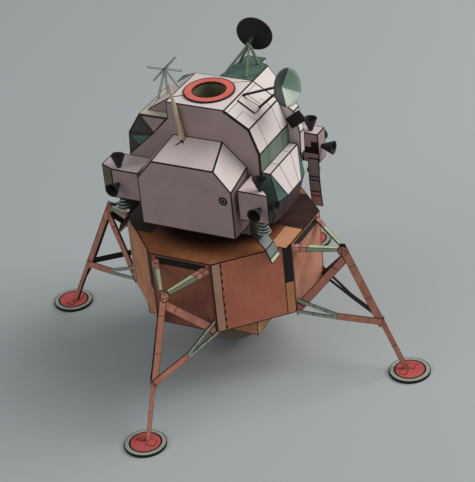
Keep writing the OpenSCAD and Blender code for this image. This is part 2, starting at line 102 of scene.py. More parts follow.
def brush_group():
    """Long loose brush strokes over a wash."""
    tree, gin, gout = group(
        "Brush Strokes",
        [("Color", "NodeSocketColor", (0.8, 0.8, 0.8, 1)), ("Stroke", "NodeSocketColor", (0.4, 0.2, 0.3, 1)),
         ("Scale", "NodeSocketFloat", 45.0), ("Strength", "NodeSocketFloat", 0.6)],
        [("Color", "NodeSocketColor")],
    )
    n, link = tree.nodes, tree.links
    place = n.new("ShaderNodeTexCoord")
    wave = n.new("ShaderNodeTexWave")
    wave.inputs["Distortion"].default_value = 9.0
    wave.inputs["Detail"].default_value = 3.0
    wave.inputs["Detail Scale"].default_value = 1.4
    link.new(place.outputs["Object"], wave.inputs["Vector"])
    link.new(gin.outputs["Scale"], wave.inputs["Scale"])
    edge = n.new("ShaderNodeMapRange")
    edge.inputs["From Min"].default_value = 0.72
    edge.inputs["From Max"].default_value = 1.0
    link.new(wave.outputs["Fac"], edge.inputs["Value"])
    amount = n.new("ShaderNodeMath")
    amount.operation = "MULTIPLY"
    link.new(edge.outputs["Result"], amount.inputs[0])
    link.new(gin.outputs["Strength"], amount.inputs[1])
    mix = n.new("ShaderNodeMix")
    mix.data_type = "RGBA"
    link.new(amount.outputs[0], mix.inputs["Factor"])
    link.new(gin.outputs["Color"], mix.inputs["A"])
    link.new(gin.outputs["Stroke"], mix.inputs["B"])
    link.new(mix.outputs["Result"], gout.inputs["Color"])
    return tree


def shade_group():
    """Painted shading: the colour darkens toward the middle of the model, from Far down to Near."""
    tree, gin, gout = group(
        "Shaded Toward Middle",
        [("Color", "NodeSocketColor", (0.8, 0.8, 0.8, 1)), ("Dark", "NodeSocketColor", (0.1, 0.05, 0.03, 1)),
         ("Near", "NodeSocketFloat", 0.02), ("Far", "NodeSocketFloat", 0.036)],
        [("Color", "NodeSocketColor")],
    )
    n, link = tree.nodes, tree.links
    place = n.new("ShaderNodeTexCoord")
    flat = n.new("ShaderNodeVectorMath")
    flat.operation = "MULTIPLY"
    flat.inputs[1].default_value = (1, 1, 0)
    link.new(place.outputs["Object"], flat.inputs[0])
    reach = n.new("ShaderNodeVectorMath")
    reach.operation = "LENGTH"
    link.new(flat.outputs["Vector"], reach.inputs[0])
    ramp = n.new("ShaderNodeMapRange")
    ramp.interpolation_type = "SMOOTHSTEP"
    link.new(reach.outputs["Value"], ramp.inputs["Value"])
    link.new(gin.outputs["Near"], ramp.inputs["From Min"])
    link.new(gin.outputs["Far"], ramp.inputs["From Max"])
    mix = n.new("ShaderNodeMix")
    mix.data_type = "RGBA"
    link.new(ramp.outputs["Result"], mix.inputs["Factor"])
    link.new(gin.outputs["Dark"], mix.inputs["A"])
    link.new(gin.outputs["Color"], mix.inputs["B"])
    link.new(mix.outputs["Result"], gout.inputs["Color"])
    return tree


WATERCOLOUR = watercolour_group()
BRUSH = brush_group()
SHADE = shade_group()


def linear(hex_colour):
    """A colour as a painter writes it, for Blender's linear sockets."""
    out = []
    for i in (0, 2, 4):
        c = int(hex_colour[i : i + 2], 16) / 255
        out.append(c / 12.92 if c <= 0.04045 else ((c + 0.055) / 1.055) ** 2.4)
    return (*out, 1.0)


def card(name, wash, pool, scale=60.0, pooling=0.5, stroke=None, stroke_scale=45.0, strokes=0.5, shaded=None):
    m = bpy.data.materials.new(name)
    m.use_nodes = True
    n, link = m.node_tree.nodes, m.node_tree.links
    principled = n["Principled BSDF"]
    principled.inputs["Specular IOR Level"].default_value = 0.3
    paint = n.new("ShaderNodeGroup")
    paint.node_tree = WATERCOLOUR
    paint.inputs["Wash"].default_value = linear(wash)
    paint.inputs["Pool"].default_value = linear(pool)
    paint.inputs["Cloud Scale"].default_value = scale
    paint.inputs["Pooling"].default_value = pooling
    colour = paint.outputs["Color"]
    if stroke:
        brush = n.new("ShaderNodeGroup")
        brush.node_tree = BRUSH
        brush.inputs["Stroke"].default_value = linear(stroke)
        brush.inputs["Scale"].default_value = stroke_scale
        brush.inputs["Strength"].default_value = strokes
        link.new(colour, brush.inputs["Color"])
        colour = brush.outputs["Color"]
    if shaded:
        shade = n.new("ShaderNodeGroup")
        shade.node_tree = SHADE
        shade.inputs["Dark"].default_value = linear(shaded[0])
        shade.inputs["Near"].default_value, shade.inputs["Far"].default_value = shaded[1:]
        link.new(colour, shade.inputs["Color"])
        colour = shade.outputs["Color"]
    link.new(colour, principled.inputs["Base Color"])
    link.new(paint.outputs["Roughness"], principled.inputs["Roughness"])
    link.new(paint.outputs["Normal"], principled.inputs["Normal"])
    return m


PAINT = {
    "ink": card("ink", "17130F", "2A231E", 90, 0.5),
    # lilac, mauve and white are tones of one card set by the way its faces turn: white stands for faces in
    # the light as painted light, mauve for aft faces as painted shade; both also serve other parts and
    # printed marks
    "lilac": card("lilac", "D8C6C4", "C8B1B1", 40, 0.45),
    "mauve": card("mauve", "AD9492", "957C7D", 36, 0.6),
    "white": card("white card", "E3D6D2", "D2C2BE", 50, 0.4),
    "cream": card("cream", "C9C4AE", "A9A58E", 60, 0.5),
    "teal": card("teal", "547268", "35524B", 70, 0.7),
    "band green": card("band green", "71826F", "566A59", 60, 0.6),
    "olive": card("olive", "66604A", "474434", 70, 0.6),
    "dark olive": card("dark olive", "494A3F", "35362F", 70, 0.6),
    "orange": card("orange", "C98A5E", "A9613F", 34, 0.7, "8C3F3A", 70, 0.2),
    "salmon": card("salmon", "CB8A6F", "B2664F", 36, 0.7, "8E3B4B", 75, 0.22),
    "red brown": card("red brown", "A0624A", "7C4435", 36, 0.7, "5B2430", 70, 0.22),
    "tan": card("tan", "BB9078", "A17460", 50, 0.5),
    "deck": card("deck", "BE7C4C", "8E4E2C", 28, 0.8, "5A2414", 60, 0.15, ("2E1710", 0.024, 0.042)),
    # pale deck paint: printed strips on the deck, and painted light on the plinth's starboard faces
    "deck light": card("deck light", "D49A72", "C0835E", 40, 0.5),
    # painted shade: a purple for faces turned down and for the core that stands in shadow below the ascent
    # stage
    "dark purple": card("dark purple", "4A3438", "33252A", 50, 0.6),
    "strut": card("strut", "C08068", "A5624F", 90, 0.6, "7D3F33", 60, 0.3),
    "brace green": card("brace green", "B9C09A", "96A07F", 110, 0.5),
    "brace olive": card("brace olive", "85907A", "68735F", 110, 0.5),
    "fork green": card("fork green", "95A28C", "6F7F6C", 110, 0.5),
    "coral": card("coral", "DE6D61", "C9574E", 60, 0.5),
    "pale green": card("pale green", "C3D0C0", "9FB0A0", 70, 0.6),
    "dish grey": card("dish grey", "7E8580", "5E6662", 80, 0.6),
    "cone": card("cone", "1F2422", "31403A", 160, 0.5),
    "cone stripe": card("cone stripe", "A9B1A6", "8B958B", 120, 0.5),
    "nozzle": card("nozzle", "7B6F60", "5A5046", 60, 0.6),
    "pad ring": card("pad ring", "AEB8A8", "8D9889", 90, 0.5),
    "panel": card("panel", "C4775A", "AC5A4A", 30, 0.7, "8A3F45", 70, 0.12),
    "roof teal": card("roof teal", "587465", "3A5447", 80, 0.7),
    # the print's dark on the deck beside the ascent stage, with painted shadow of the thruster cones over it
    "deck dark and shadow": card("deck dark and shadow", "452A22", "2A1C1A", 40, 0.8),
    "dish dark": card("dish dark", "343B37", "4A524D", 90, 0.6),
    "pad coral": card("pad coral", "C0564F", "9E4340", 60, 0.5),
    "fitting": card("fitting", "C98878", "8A4A44", 300, 0.8),
    "tunnel": card("tunnel", "6D6E52", "4A4C38", 90, 0.6),
    "teal light": card("teal light", "7C9484", "5F7B6A", 90, 0.6),
    "dish shade": card("dish shade", "6A726C", "4E5551", 90, 0.6),
}


def wood(name):
    m = bpy.data.materials.new(name)
    m.use_nodes = True
    n, link = m.node_tree.nodes, m.node_tree.links
    principled = n["Principled BSDF"]
    place = n.new("ShaderNodeTexCoord")
    stretch = n.new("ShaderNodeMapping")
    stretch.inputs["Scale"].default_value = (1.0, 1.0, 0.06)
    grain = n.new("ShaderNodeTexNoise")
    grain.inputs["Scale"].default_value = 2600.0
    grain.inputs["Detail"].default_value = 5.0
    ramp = n.new("ShaderNodeValToRGB")
    ramp.color_ramp.elements[0].position = 0.35
    ramp.color_ramp.elements[0].color = linear("A98F70")
    ramp.color_ramp.elements[1].position = 0.65
    ramp.color_ramp.elements[1].color = linear("D9C7A8")
    bump = n.new("ShaderNodeBump")
    bump.inputs["Strength"].default_value = 0.25
    bump.inputs["Distance"].default_value = 0.0001
    rough = n.new("ShaderNodeMapRange")
    rough.inputs["To Min"].default_value = 0.5
    rough.inputs["To Max"].default_value = 0.75
    link.new(place.outputs["Object"], stretch.inputs["Vector"])
    link.new(stretch.outputs["Vector"], grain.inputs["Vector"])
    link.new(grain.outputs["Fac"], ramp.inputs["Fac"])
    link.new(ramp.outputs["Color"], principled.inputs["Base Color"])
    link.new(grain.outputs["Fac"], bump.inputs["Height"])
    link.new(bump.outputs["Normal"], principled.inputs["Normal"])
    link.new(grain.outputs["Fac"], rough.inputs["Value"])
    link.new(rough.outputs["Result"], principled.inputs["Roughness"])
    return m


PAINT["wood"] = wood("mast wood")


# ---------- folded card from a CAD node ----------
# In widths of the border: how far a sharp corner may throw it, and where it is then held
BORDER_FAR, BORDER_HELD = 2.2, 1.2


def folded(node, paint, line=0.35, least=1.5, cuts=(), flat=1.0, smooth=False):
    """The node's own shape as a few large flat panels, each with an inked border.
    paint(centre, normal) names each panel's paint, with ~ before it for a panel with no border.
    cuts are (point, normal) planes where the print changes along a piece."""
    mesh = bpy.data.meshes.new(node + "_card")
    bm = bmesh.new()
    bm.from_mesh(NODES[node].data)
    bmesh.ops.remove_doubles(bm, verts=bm.verts, dist=2e-6)
    bmesh.ops.dissolve_limit(bm, angle_limit=math.radians(flat), use_dissolve_boundaries=False,
                             verts=bm.verts, edges=bm.edges, delimit=set())
    bmesh.ops.recalc_face_normals(bm, faces=bm.faces)
    for point, normal in cuts:
        bmesh.ops.bisect_plane(bm, geom=bm.verts[:] + bm.edges[:] + bm.faces[:], dist=1e-6,
                               plane_co=Vector(point) * MM, plane_no=normal)
    names = ["ink"]

    def index(name):
        if name not in names:
            names.append(name)
        return names.index(name)

    panels = []
    for f in list(bm.faces):
        name = paint(f.calc_center_median() / MM, f.normal.copy())
        f.material_index = index(name.lstrip("~"))
        if name[0] != "~" and f.calc_area() > least * MM * MM and f.material_index != 0:
            panels.append(f)
    if panels and line:
        inside = {f: f.material_index for f in panels}
        made = bmesh.ops.inset_individual(bm, faces=panels, thickness=line * MM, depth=0.0,
                                          use_even_offset=True)
        for f in made["faces"]:
            f.material_index = 0
        for f, k in inside.items():
            f.material_index = k
        for f in inside:
            own = set(f.verts)
            for v in f.verts:
                outer = [e.other_vert(v) for e in v.link_edges if e.other_vert(v) not in own]
                if outer:
                    step = v.co - outer[0].co
                    if step.length > BORDER_FAR * line * MM:
                        v.co = outer[0].co + step.normalized() * BORDER_HELD * line * MM
    for f in bm.faces:
        f.smooth = smooth
    bm.to_mesh(mesh)
    bm.free()
    o = bpy.data.objects.new(node + "_card", mesh)
    bpy.context.scene.collection.objects.link(o)
    for name in names:
        mesh.materials.append(PAINT[name])
    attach(o, "root")
    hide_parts(node)
    return o


def plain(name):
    return lambda c, n: name


def repaint(node, name):
    """One paint all over a node that keeps its own shape."""
    NODES[node].data.materials.clear()
    NODES[node].data.materials.append(PAINT[name])


# ---------- printed details: thin card shapes on a face ----------
def face_frame(origin, out, up):
    """Rows x, y and z of a flat place on the model: up is the way its y points."""
    z = Vector(out).normalized()
    x = Vector(up).cross(z).normalized()
    y = z.cross(x)
    m = Matrix((x, y, z)).transposed().to_4x4()
    m.translation = Vector(origin) * MM
    return m


def finish_piece(bm, name, paints):
    bmesh.ops.recalc_face_normals(bm, faces=bm.faces)
    mesh = bpy.data.meshes.new(name)
    bm.to_mesh(mesh)
    bm.free()
    o = bpy.data.objects.new(name, mesh)
    bpy.context.scene.collection.objects.link(o)
    for p in paints:
        mesh.materials.append(PAINT[p])
    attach(o, "root")
    return o


def paint_faces(verts, paint):
    for v in verts:
        for f in v.link_faces:
            f.material_index = paint


def raise_face(bm, m, face, thick, paint):
    """Gives a flat shape its thickness, along the z of its place."""
    face.material_index = paint
    top = bmesh.ops.extrude_face_region(bm, geom=[face])
    verts = [g for g in top["geom"] if isinstance(g, bmesh.types.BMVert)]
    bmesh.ops.translate(bm, verts=verts, vec=m.to_3x3() @ Vector((0, 0, thick * MM)))
    paint_faces(verts, paint)


def disc(bm, m, radius, thick=0.06, paint=0, lift=0.0, segments=40):
    made = bmesh.ops.create_circle(bm, cap_ends=True, radius=radius * MM, segments=segments,
                                   matrix=m @ Matrix.Translation((0, 0, lift * MM)))
    raise_face(bm, m, made["verts"][0].link_faces[0], thick, paint)


def band(bm, m, radius, width, thick=0.05, paint=0, lift=0.0):
    """A printed ring."""
    cross = m @ Matrix.Translation(Vector((radius, 0, lift + thick / 2)) * MM)
    square = (Matrix.Rotation(math.pi / 2, 4, "X") @ Matrix.Diagonal((width * MM, thick * MM, 1, 1))
              @ Matrix.Rotation(math.pi / 4, 4, "Z"))
    made = bmesh.ops.create_circle(bm, cap_ends=False, radius=math.sqrt(0.5), segments=4,
                                   matrix=cross @ square)
    edges = list({e for v in made["verts"] for e in v.link_edges})
    before = set(bm.faces)
    bmesh.ops.spin(bm, geom=made["verts"] + edges, cent=m.translation, axis=m.to_3x3() @ Vector((0, 0, 1)),
                   angle=2 * math.pi, steps=72, use_merge=True)
    for f in set(bm.faces) - before:
        f.material_index = paint


def patch(bm, m, corners, thick=0.05, paint=0, lift=0.0, edge=0.0):
    """A printed shape given by its corners in a face's own x and y, with an inked edge where edge is set."""
    made = bmesh.ops.create_circle(bm, cap_ends=True, radius=MM, segments=len(corners), matrix=m)
    for v, (x, y) in zip(made["verts"], corners):
        v.co = m @ Vector((x * MM, y * MM, lift * MM))
    raise_face(bm, m, made["verts"][0].link_faces[0], thick, paint)
    if edge:
        for i, a in enumerate(corners):
            line(bm, m, a, corners[(i + 1) % len(corners)], edge, thick + 0.03, 0, lift)


def line(bm, m, a, b, width=0.3, thick=0.05, paint=0, lift=0.0):
    """A printed line from a to b in a face's own x and y."""
    a, b = Vector((*a, 0)), Vector((*b, 0))
    d = b - a
    turn = Matrix.Rotation(math.atan2(d.y, d.x), 4, "Z")
    mid = (a + b) / 2
    place = m @ Matrix.Translation((mid.x * MM, mid.y * MM, (lift + thick / 2) * MM)) @ turn
    bar = Matrix.Diagonal((d.length * MM, width * MM, thick * MM, 1))
    made = bmesh.ops.create_cube(bm, size=1.0, matrix=place @ bar)
    paint_faces(made["verts"], paint)


# ---------- descent stage ----------
STAGE_D, STAGE_W, STAGE_Z, DECK_TOP = 41.6, 15.2, 32.1, 67.8
STAGE_MID = (STAGE_Z + DECK_TOP) / 2
CORNER_MID = (STAGE_D + STAGE_W) / 2
PLINTH_D, PLINTH_MID = 28.0, STAGE_Z - 3.65


def stage_paint(c, n):
    if n.z > 0.9:
        return "deck"
    if n.z < -0.9:
        return "red brown"
    if abs(n.x) > 0.9 or abs(n.y) > 0.9:
        return "salmon" if n.x > 0.9 else "red brown"
    return "orange" if n.x * n.y > 0 else "panel"


folded("descent_stage", stage_paint, 0.45)
# the plinth's starboard faces take the pale deck paint as painted light; the faces turned from the light stay
# orange
folded("base_plinth", lambda c, n: "deck light" if n.x > 0.5 else "orange", 0.35)
folded("porch", plain("orange"), 0.15)

# printed bands and strips on the eight sides
bm = bmesh.new()
for k in range(4):
    turn = Matrix.Rotation(k * math.pi / 2, 4, "Z")
    leg_face = turn @ face_frame((0, -STAGE_D, STAGE_MID), (0, -1, 0), (0, 0, 1))
    line(bm, leg_face, (-12.4, 15.2), (12.4, 15.2), 3.6, 0.05, 0)
    for x in (-14.2, 14.2):
        line(bm, leg_face, (x, -17.2), (x, 17.2), 0.25, 0.05, 0)
    corner = turn @ face_frame((CORNER_MID, -CORNER_MID, STAGE_MID), (1, -1, 0), (0, 0, 1))
    line(bm, corner, (-16.5, -17.3), (-16.5, 17.3), 3.6, 0.05, 1)
    line(bm, corner, (-14.6, -17.4), (-14.6, 17.4), 0.3, 0.09, 0)
    for i in range(9):
        y = -16.0 + i * 4.0
        line(bm, corner, (-14.3, y - 0.9), (-14.3, y + 0.9), 0.7, 0.09, 0)
    line(bm, corner, (16.5, -17.3), (16.5, -1.2), 3.7, 0.05, 2)
    line(bm, corner, (16.5, -1.2), (16.5, 17.4), 3.9, 0.06, 0)
    line(bm, corner, (14.5, -17.4), (14.5, 17.4), 0.35, 0.09, 0)
    plinth = turn @ face_frame((0, -PLINTH_D, PLINTH_MID), (0, -1, 0), (0, 0, 1))
    for x in (-9.3, 9.3):
        line(bm, plinth, (x, -3.3), (x, 3.3), 0.25, 0.05, 0)
finish_piece(bm, "stage_print", ["ink", "tan", "orange"])

# painted deck: pale strips and dark corners, ruled in ink; the dark corners are the print's dark with painted
# shadow of the thruster cones over it
DARK_CORNER_AND_SHADOW = ((22.0, -1.5), (41.2, -1.5), (41.2, 14.9), (29.9, 26.2), (22.0, 26.2))
bm = bmesh.new()
deck = face_frame((0, 0, DECK_TOP), (0, 0, 1), (0, 1, 0))
line(bm, deck, (36.6, -18.6), (36.6, -2.2), 8.0, 0.05, 1)
line(bm, deck, (32.4, -18.9), (32.4, -2.0), 0.3, 0.08, 0)
line(bm, deck, (31.0, -1.9), (41.2, -1.9), 0.3, 0.08, 0)
line(bm, deck, (27.5, -16.5), (31.5, -12.5), 0.3, 0.08, 0)
line(bm, deck, (-36.6, 2.2), (-36.6, 18.6), 8.0, 0.05, 1)
line(bm, deck, (-32.4, 2.0), (-32.4, 18.9), 0.3, 0.08, 0)
for s in (1, -1):
    patch(bm, deck, [(s * x, s * y) for x, y in DARK_CORNER_AND_SHADOW], 0.04, 2)
finish_piece(bm, "deck_print", ["ink", "deck light", "deck dark and shadow"])

repaint("engine_nozzle", "nozzle")

# ---------- landing gear ----------
LEGS = ("aft", "starboard", "forward", "port")


def outward(centre):
    """Unit way out from the middle for the leg that a point belongs to."""
    if abs(centre.x) > abs(centre.y):
        return Vector((math.copysign(1, centre.x), 0, 0))
    return Vector((0, math.copysign(1, centre.y), 0))


def leg_paint(front, back):
    """Printed on the side that faces away from the leg's middle plane, black inside the fold."""

    def paint(c, n):
        out = outward(c)
        side = out.cross(Vector((0, 0, 1)))
        off = Vector((c.x, c.y, 0)).dot(side)
        facing = n.dot(side) * (1 if off > 0 else -1) + 0.6 * n.dot(out)
        return front if facing > 0.15 else back

    return paint


HUB, FOOT, KNEE_Z, PAD_T = Vector((0, -61.2, 61.0)), Vector((0, -88.5, 1.2)), 25.5, 1.2
RAKE = (FOOT - HUB).normalized()
KNEE = HUB + RAKE * ((KNEE_Z - HUB.z) / RAKE.z)
# Where the print changes: down the main strut from its hub, and as shares of a brace and a secondary strut
STRUT_CUTS, BRACE_CUTS, FORK_CUTS = (9.0, 26.0, 37.6, 52.0), (0.3, 0.92), (0.54, 0.68, 0.82)
FORK_FROM = 0.53
BRACE_IN = STAGE_W - 0.6
FITTING_END, FITTING_FOLD = -STAGE_D - 5.0, -STAGE_D - 2.4


def inward(s):
    """In the leg frame's plane, square to the main strut, toward the stage."""
    c = Vector((s * BRACE_IN, -STAGE_D, STAGE_Z + 1.6)) - HUB
    return (c - RAKE * c.dot(RAKE)).normalized()


def frame_out(s):
    return RAKE.cross(inward(s)).normalized() * s


def turned(k, v):
    return Matrix.Rotation(k * math.pi / 2, 3, "Z") @ Vector(v)


for k, leg in enumerate(LEGS):
    joints = [(turned(k, HUB + RAKE * d), turned(k, RAKE)) for d in STRUT_CUTS]
    folded("main_strut_" + leg, leg_paint("strut", "ink"), 0.16, 0.8, joints)
    for hand, s in (("right", 1), ("left", -1)):
        corner = Vector((s * BRACE_IN, -STAGE_D, STAGE_Z + 0.9))
        along = corner - HUB
        folded(f"lower_brace_{leg}_{hand}", leg_paint("strut", "ink"), 0.2, 0.8,
               [(turned(k, HUB + along * t), turned(k, along)) for t in BRACE_CUTS])
        reach = corner - KNEE

        def fork_paint(c, n, k=k, reach=reach, inked=leg_paint("strut", "ink"),
                       green=leg_paint("fork green", "ink")):
            d = (turned(-k, c) - KNEE).dot(reach.normalized()) / reach.length
            return inked(c, n) if d < FORK_FROM else green(c, n)

        folded(f"secondary_strut_{leg}_{hand}", fork_paint, 0.14, 0.4,
               [(turned(k, KNEE + reach * t), turned(k, reach)) for t in FORK_CUTS])

        def brace_paint(c, n, k=k):
            at_stage = turned(-k, c).y > FITTING_END
            if n.z > 0.35:
                return "fitting" if at_stage else "brace green"
            return ("fitting" if at_stage else "brace olive") if n.z > -0.5 else "ink"

        folded(f"upper_brace_{leg}_{hand}", brace_paint, 0.16, 0.5,
               [(turned(k, (0, y, 0)), turned(k, (0, 1, 0))) for y in (FITTING_END, FITTING_FOLD)])

# hub plates with bolt heads, and the folded tabs that hold each foot to its pad
PLATE_IN, PLATE_DOWN, BOLT_RING, BOLT_ANGLES = 2.4, 0.8, 1.1, (100, 215, 330)
PAD_RINGS = ((9.15, 0.06, 0), (8.95, 0.10, 1), (8.3, 0.13, 0), (8.1, 0.16, 1), (7.5, 0.19, 0), (6.6, 0.22, 2))
FOOT_TABS, TAB_EDGE = ((0.6, 4.8, -1.6, 2.6), (-4.8, -0.8, 0.2, 3.6)), 0.25

for k, leg in enumerate(LEGS):
    turn = Matrix.Rotation(k * math.pi / 2, 4, "Z")
    bm = bmesh.new()
    for s in (1, -1):
        out, u = frame_out(s), inward(s)
        centre = HUB + u * PLATE_IN + RAKE * PLATE_DOWN
        plate = turn @ face_frame(centre, out, -RAKE)
        disc(bm, plate, 2.35, 0.08, 1)
        disc(bm, plate, 2.05, 0.12, 0)
        for a in map(math.radians, BOLT_ANGLES):
            spot = Vector((math.cos(a) * BOLT_RING, math.sin(a) * BOLT_RING, 0)) * MM
            disc(bm, plate @ Matrix.Translation(spot), 0.5, 0.2, 1, segments=16)
            disc(bm, plate @ Matrix.Translation(spot), 0.24, 0.25, 0, segments=12)
    finish_piece(bm, "hub_plates_" + leg, ["strut", "ink"])
    bm = bmesh.new()
    top = turn @ face_frame((0, FOOT.y, PAD_T), (0, 0, 1), (0, 1, 0))
    for radius, thick, paint in PAD_RINGS:
        disc(bm, top, radius, thick, paint, segments=64)
    for x0, x1, y0, y1 in FOOT_TABS:
        y = (y0 + y1) / 2
        line(bm, top, (x0, y), (x1, y), y1 - y0, 0.12, 0, 0.22)
        line(bm, top, (x0 + TAB_EDGE, y), (x1 - TAB_EDGE, y), y1 - y0 - 2 * TAB_EDGE, 0.14, 2, 0.24)
    finish_piece(bm, "pad_print_" + leg, ["ink", "pad ring", "pad coral"])
    repaint("pad_" + leg, "ink")

# ---------- ascent stage ----------
DECK_X, DECK_Z, SHOULDER_X, SHOULDER_Z, SIDE_X, SIDE_Z = 14.2, 129.5, 25.7, 122.1, 29.8, 110.5
LEDGE_X, LEDGE_Z, TANK_X, TANK_Z = 34.0, 101.6, 38.0, 87.5
MID_Y, BAY_Y, FRONT_Y, CORE_TOP, RING_T = 14.3, -31.0, 36.5, 76.5, 0.8


# Tones by the way a face turns: white on top and starboard faces is painted light, mauve on aft faces is
# painted shade, and the core below CORE_TOP stands in shadow and takes the purple painted shade.
def mid_paint(c, n):
    if abs(n.z) < 0.6 and Vector((c.x, c.y)).length < 8:
        return "~tunnel"
    if c.z < CORE_TOP and abs(n.z) < 0.5:
        return "~dark purple"
    if n.y < -0.9:
        return "mauve"
    if n.z > 0.9:
        return "white"
    if n.x > 0.97:
        return "band green"
    if n.x > 0.2:
        return "white"
    return "lilac"


folded("midsection", mid_paint, 0.42)


def port_tank_paint(c, n):
    if n.z > 0.9:
        return "cream"
    return "dark olive" if n.y < -0.9 else "olive"


# white on faces that slope up to starboard is painted light; faces turned down take the purple painted shade
def starboard_tank_paint(c, n):
    if n.z > 0.05 and abs(n.y) < 0.12:
        return "white"
    return "teal" if n.z > -0.2 else "dark purple"


folded("port_tank", port_tank_paint, 0.35)
folded("starboard_tank", starboard_tank_paint, 0.4)


# white on faces turned up to starboard is painted light; mauve on the aft face and on the faces turned from
# the light is painted shade
def bay_paint(c, n):
    if n.y < -0.9:
        return "mauve"
    if n.z > 0.9:
        return "lilac"
    if n.x > 0.3 and n.z > 0.1:
        return "white"
    return "mauve"


# white on faces turned up to starboard is painted light; faces turned down take the purple painted shade
def cabin_paint(c, n):
    if n.x > 0.3 and n.z > 0.2:
        return "white"
    if n.z < -0.3:
        return "dark purple"
    return "roof teal" if n.z > 0.5 else "lilac"


folded("aft_bay", bay_paint, 0.5, flat=7.0)
folded("forward_cabin", cabin_paint, 0.42)
folded("docking_ring", lambda c, n: "~coral" if n.z > 0.5 else "~ink", 0.0)


def sloped(a, b):
    """The place and run of a panel that falls from fold a to fold b, both (x, z): its y runs up the slope."""
    fall = Vector((b[0] - a[0], 0, b[1] - a[1]))
    out = Vector((-fall.z, 0, fall.x))
    if out.x * (1 if b[0] > 0 else -1) < 0:
        out = -out
    return face_frame(((a[0] + b[0]) / 2, 0, (a[1] + b[1]) / 2), out, -fall), fall.length


# ruled lines down the starboard panels, then the printed rings, marks and painted triangles
bm = bmesh.new()
for a, b in (((DECK_X, DECK_Z), (SHOULDER_X, SHOULDER_Z)), ((SHOULDER_X, SHOULDER_Z), (SIDE_X, SIDE_Z))):
    m, run = sloped(a, b)
    first = a[0] == DECK_X
    for y in (-6.5, 7.6):
        line(bm, m, (y, -run / 2), (y, run / 2 - (7.5 if first else 0)), 0.22, 0.04, 0)
    if first:
        line(bm, m, (-MID_Y, run / 2 - 1.8), (MID_Y, run / 2 - 1.8), 0.2, 0.04, 0)
        line(bm, m, (-MID_Y, -run / 2 + 7.4), (-6.5, -run / 2 + 7.4), 0.2, 0.04, 0)
side_band = face_frame((SIDE_X, 0, (SIDE_Z + LEDGE_Z) / 2), (1, 0, 0), (0, 0, 1))
for y in (-6.3, 7.8):
    line(bm, side_band, (y, -4.2), (y, 4.2), 0.25, 0.04, 0)
m, run = sloped((LEDGE_X, LEDGE_Z), (TANK_X, TANK_Z))
for y0, y1 in ((-5.6, -2.2), (6.0, 4.4)):
    line(bm, m, (y1, -run / 2 + 0.2), (y0, run / 2), 0.22, 0.05, 0)
ledge = face_frame(((SIDE_X + LEDGE_X) / 2, 0, LEDGE_Z), (0, 0, 1), (0, 1, 0))
for y in (-5.6, 6.0):
    line(bm, ledge, (-1.9, y), (1.9, y), 0.22, 0.05, 0)
bay = face_frame((0, BAY_Y, 92.0), (0, -1, 0), (0, 0, 1))
spot = bay @ Matrix.Translation(Vector((18.7, 2.6, 0)) * MM)
for radius, thick, paint in ((2.1, 0.05, 0), (1.15, 0.08, 1), (0.85, 0.11, 0)):
    disc(bm, spot, radius, thick, paint)
top = face_frame((0, 0, DECK_Z + RING_T), (0, 0, 1), (0, 1, 0))
band(bm, top, 11.2, 0.5, 0.05, 0)
band(bm, top, 7.5, 0.45, 0.05, 0)
# small cross at the foot of the mast
mark = face_frame((-6.2, -17.8, 112.83), (0, -5.4, 16.7), (0, 1, 0))
line(bm, mark, (-1.9, -2.6), (0.9, 1.4), 0.7, 0.05, 0)
line(bm, mark, (-1.0, 0.5), (1.2, -0.7), 0.7, 0.06, 0)
# painted triangles on the aft end of the port tank
tank_aft = face_frame((0, -MID_Y, 0), (0, -1, 0), (0, 0, 1))
patch(bm, tank_aft, [(-27.6, 120.6), (-15.4, 120.6), (-21.9, 113.0)], 0.05, 2, 0, 0.3)
patch(bm, tank_aft, [(-28.6, 120.2), (-22.8, 112.3), (-34.4, 110.9)], 0.05, 3, 0, 0.3)
patch(bm, tank_aft, [(-34.3, 110.0), (-23.6, 111.2), (-30.2, 105.2)], 0.05, 4, 0, 0.3)
# heavy ink along the aft edge of the arch
arch = [(13.6, 128.95), (25.2, 121.5), (29.2, 110.2), (29.2, 100.2)]
for a, b in zip(arch, arch[1:]):
    line(bm, tank_aft, a, b, 0.85, 0.05, 0)
    disc(bm, tank_aft @ Matrix.Translation(Vector((*b, 0)) * MM), 0.42, 0.05, 0, segments=16)
finish_piece(bm, "ascent_print", ["ink", "dish grey", "mauve", "dark olive", "roof teal"])

# windows and hatch, as printed on the front
bm = bmesh.new()
face = face_frame((0, FRONT_Y, 100.0), (0, 1, 0), (0, 0, 1))
line(bm, face, (-4.2, -12.0), (4.2, -12.0), 8.4, 0.06, 0)
line(bm, face, (-3.8, -12.0), (3.8, -12.0), 7.6, 0.1, 1)
for s in (-1, 1):
    patch(bm, face, [(s * 9.0, 9.6), (s * 2.0, 9.6), (s * 3.6, 1.2)], 0.05, 2, 0, 0.35)
    patch(bm, face, [(s * 8.0, 9.0), (s * 2.9, 9.0), (s * 3.9, 2.8)], 0.08, 0)
finish_piece(bm, "front_print", ["ink", "lilac", "white"])

# ---------- thruster boxes, cones, strips ----------
# Past these limits a cone points up, down, aft or forward; the rest point to the sides
CONES_UP, CONES_DOWN, CONES_AFT, CONES_FORWARD = 99.4, 85.1, -28.3, 34.6
PALE_TOP, GREY_TOP = 67.6, 76.0


def cone_paint(c, n):
    """Black inside the mouth, which is the side that faces the way the cone points."""
    if c.z > CONES_UP:
        mouth = Vector((0, 0, 1))
    elif c.z < CONES_DOWN:
        mouth = Vector((0, 0, -1))
    elif c.y < CONES_AFT or c.y > CONES_FORWARD:
        mouth = Vector((0, math.copysign(1, c.y), 0))
    else:
        mouth = Vector((math.copysign(1, c.x), 0, 0))
    return "~ink" if n.dot(mouth) > 0.05 else "~cone"


def box_paint(c, n):
    if n.z > 0.9:
        return "lilac"
    return "olive" if n.x < -0.3 and -0.95 < n.y < -0.1 else "mauve"


